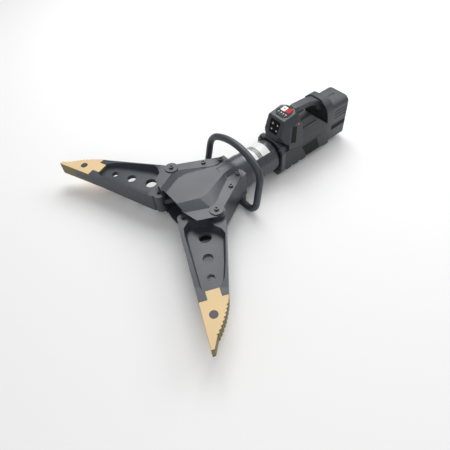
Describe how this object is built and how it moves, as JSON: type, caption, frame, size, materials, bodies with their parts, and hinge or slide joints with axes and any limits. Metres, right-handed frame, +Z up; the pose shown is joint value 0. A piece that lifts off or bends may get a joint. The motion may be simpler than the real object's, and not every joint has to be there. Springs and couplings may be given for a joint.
{
  "type": "cordless rescue spreader",
  "caption": "Battery-powered hydraulic rescue spreader: two hinged arms with serrated tips, yoke, ram cylinder, hoop handle, and a pump unit with a grip, lamp, display and slide-on battery.",
  "frame": {"origin": "centre of the footprint on the floor, under the middle of the overall length", "axes": "+Y runs along the cylinder from the tips to the battery, +Z is up, +X is the tool's right-hand arm seen from above with the tips pointing down the page"},
  "size_m": [0.7352, 0.7723, 0.1835],
  "materials": {
    "arm_paint": "forged, anthracite coating, satin",
    "tip_coat": "beige-gold coating on steel, satin",
    "pin_steel": "ground steel",
    "dark_steel": "blackened steel",
    "bronze": "bearing bronze",
    "rod_chrome": "hard chrome, polished",
    "bare_aluminium": "machined",
    "yoke_paint": "machined casting, anthracite coating, satin",
    "cover_paint": "pressed plate, anthracite powder coating",
    "cylinder_paint": "anthracite paint, semi-gloss",
    "handle_coat": "bent tube, anthracite coating, satin",
    "seal_plastic": "sliding seal ring",
    "housing_plastic": "moulded, fine grain",
    "head_plastic": "moulded, fine grain",
    "trim_black": "smooth black film",
    "panel_white": "smooth film",
    "button_red": "smooth film over a key",
    "reflector_black": "smooth black",
    "lens_clear": "moulded lens",
    "lamp_red": "small translucent lamp",
    "rubber": "moulded rubber",
    "grip_plastic": "moulded, coarse grain",
    "dock_plastic": "moulded, fine grain",
    "battery_plastic": "moulded, fine grain",
    "latch_plastic": "moulded, black",
    "contact_brass": "spring contact",
    "cell_wrap": "shrink sleeve over a cell",
    "pump_metal": "machined",
    "motor_steel": "pressed steel",
    "rotor_steel": "laminations and magnets",
    "bladder_rubber": "flexible oil bladder",
    "circuit_green": "lacquered board"
  },
  "bodies": {
    "tool": {"yoke": "yoke_paint", "upper_cover": "cover_paint", "lower_cover": "cover_paint", "cover_bolts": "dark_steel", "pivot_pins": "pin_steel", "pivot_bolts": "dark_steel", "pivot_nuts": "dark_steel", "thrust_washers": "bronze", "rod_gland": "bronze", "cylinder_tube": "cylinder_paint", "cylinder_base": "bare_aluminium", "seal_ring": "trim_black", "handle": "handle_coat", "handle_screws": "dark_steel", "pump_flange": "cylinder_paint", "flange_screws": "dark_steel", "lower_housing": "housing_plastic", "feet": "rubber", "control_head": "head_plastic", "head_strips": "trim_black", "status_light": "lamp_red", "display_panel": "trim_black", "display_window": "panel_white", "light_reflector": "reflector_black", "light_lenses": "lens_clear", "motor_cover": "housing_plastic", "side_plates": "trim_black", "battery_dock": "dock_plastic", "battery_contacts": "contact_brass", "grip": "grip_plastic", "pump_block": "pump_metal", "motor_case": "motor_steel", "oil_bladder": "bladder_rubber", "circuit_board": "circuit_green"},
    "right_arm": {"right_arm": "arm_paint", "right_arm_bush": "bronze", "right_tip": "tip_coat", "right_link_pin": "pin_steel"},
    "left_arm": {"left_arm": "arm_paint", "left_arm_bush": "bronze", "left_tip": "tip_coat", "left_link_pin": "pin_steel"},
    "right_tip_lock": {"right_tip_pin": "dark_steel"},
    "left_tip_lock": {"left_tip_pin": "dark_steel"},
    "right_link": {"right_link": "dark_steel", "right_slider_pin": "pin_steel"},
    "left_link": {"left_link": "dark_steel", "left_slider_pin": "pin_steel"},
    "ram": {"crosshead": "pin_steel", "piston_rod": "rod_chrome", "piston": "bare_aluminium", "piston_seal": "seal_plastic"},
    "motor_rotor": {"motor_rotor": "rotor_steel"},
    "power_button": {"power_button": "button_red"},
    "control_rocker": {"control_rocker": "latch_plastic"},
    "battery": {"battery_case": "battery_plastic", "battery_cells": "cell_wrap"},
    "right_battery_latch": {"right_battery_latch": "latch_plastic"},
    "left_battery_latch": {"left_battery_latch": "latch_plastic"}
  },
  "joints": [
    {"name": "right_arm_pivot", "type": "hinge", "parent": "tool", "child": "right_arm", "pos_m": [0.1007, -0.16495, 0.059], "axis": [0, 0, -1], "range_deg": [0, 67]},
    {"name": "left_arm_pivot", "type": "hinge", "parent": "tool", "child": "left_arm", "pos_m": [-0.1007, -0.16495, 0.059], "axis": [0, 0, 1], "range_deg": [0, 67]},
    {"name": "right_link_pivot", "type": "hinge", "parent": "right_arm", "child": "right_link", "pos_m": [0.0575, -0.2361, 0.059], "axis": [0, 0, -1], "range_deg": [-21, 0]},
    {"name": "left_link_pivot", "type": "hinge", "parent": "left_arm", "child": "left_link", "pos_m": [-0.0575, -0.2361, 0.059], "axis": [0, 0, 1], "range_deg": [-21, 0]},
    {"name": "ram_slide", "type": "slide", "parent": "tool", "child": "ram", "axis": [0, 1, 0], "range_m": [0, 0.0861]},
    {"name": "right_tip_lock_press", "type": "slide", "parent": "right_arm", "child": "right_tip_lock", "axis": [0, 0, -1], "range_m": [0, 0.003], "stiffness_N_per_m": 2000},
    {"name": "left_tip_lock_press", "type": "slide", "parent": "left_arm", "child": "left_tip_lock", "axis": [0, 0, -1], "range_m": [0, 0.003], "stiffness_N_per_m": 2000},
    {"name": "rotor_spin", "type": "hinge", "parent": "tool", "child": "motor_rotor", "pos_m": [0, 0.20505, 0.081], "axis": [0, 1, 0], "continuous": true},
    {"name": "power_button_press", "type": "slide", "parent": "tool", "child": "power_button", "axis": [0, 0.1584, -0.9874], "range_m": [0, 0.0006], "stiffness_N_per_m": 2000},
    {"name": "control_rocker_tilt", "type": "hinge", "parent": "tool", "child": "control_rocker", "pos_m": [0, 0.21405, 0.1645], "axis": [1, 0, 0], "range_deg": [-6, 6], "stiffness_Nm_per_rad": 1},
    {"name": "battery_slide", "type": "slide", "parent": "tool", "child": "battery", "axis": [0, 1, 0], "range_m": [0, 0.06]},
    {"name": "right_latch_press", "type": "slide", "parent": "battery", "child": "right_battery_latch", "axis": [-1, 0, 0], "range_m": [0, 0.003], "stiffness_N_per_m": 1500},
    {"name": "left_latch_press", "type": "slide", "parent": "battery", "child": "left_battery_latch", "axis": [1, 0, 0], "range_m": [0, 0.003], "stiffness_N_per_m": 1500}
  ],
  "couplings": [
    {"joint": "left_arm_pivot", "follows": "right_arm_pivot", "ratio": 1},
    {"joint": "right_link_pivot", "follows": "right_arm_pivot", "ratio": -0.31},
    {"joint": "left_link_pivot", "follows": "right_arm_pivot", "ratio": -0.31},
    {"joint": "ram_slide", "follows": "right_arm_pivot", "m_per_rad": 0.0735}
  ]
}
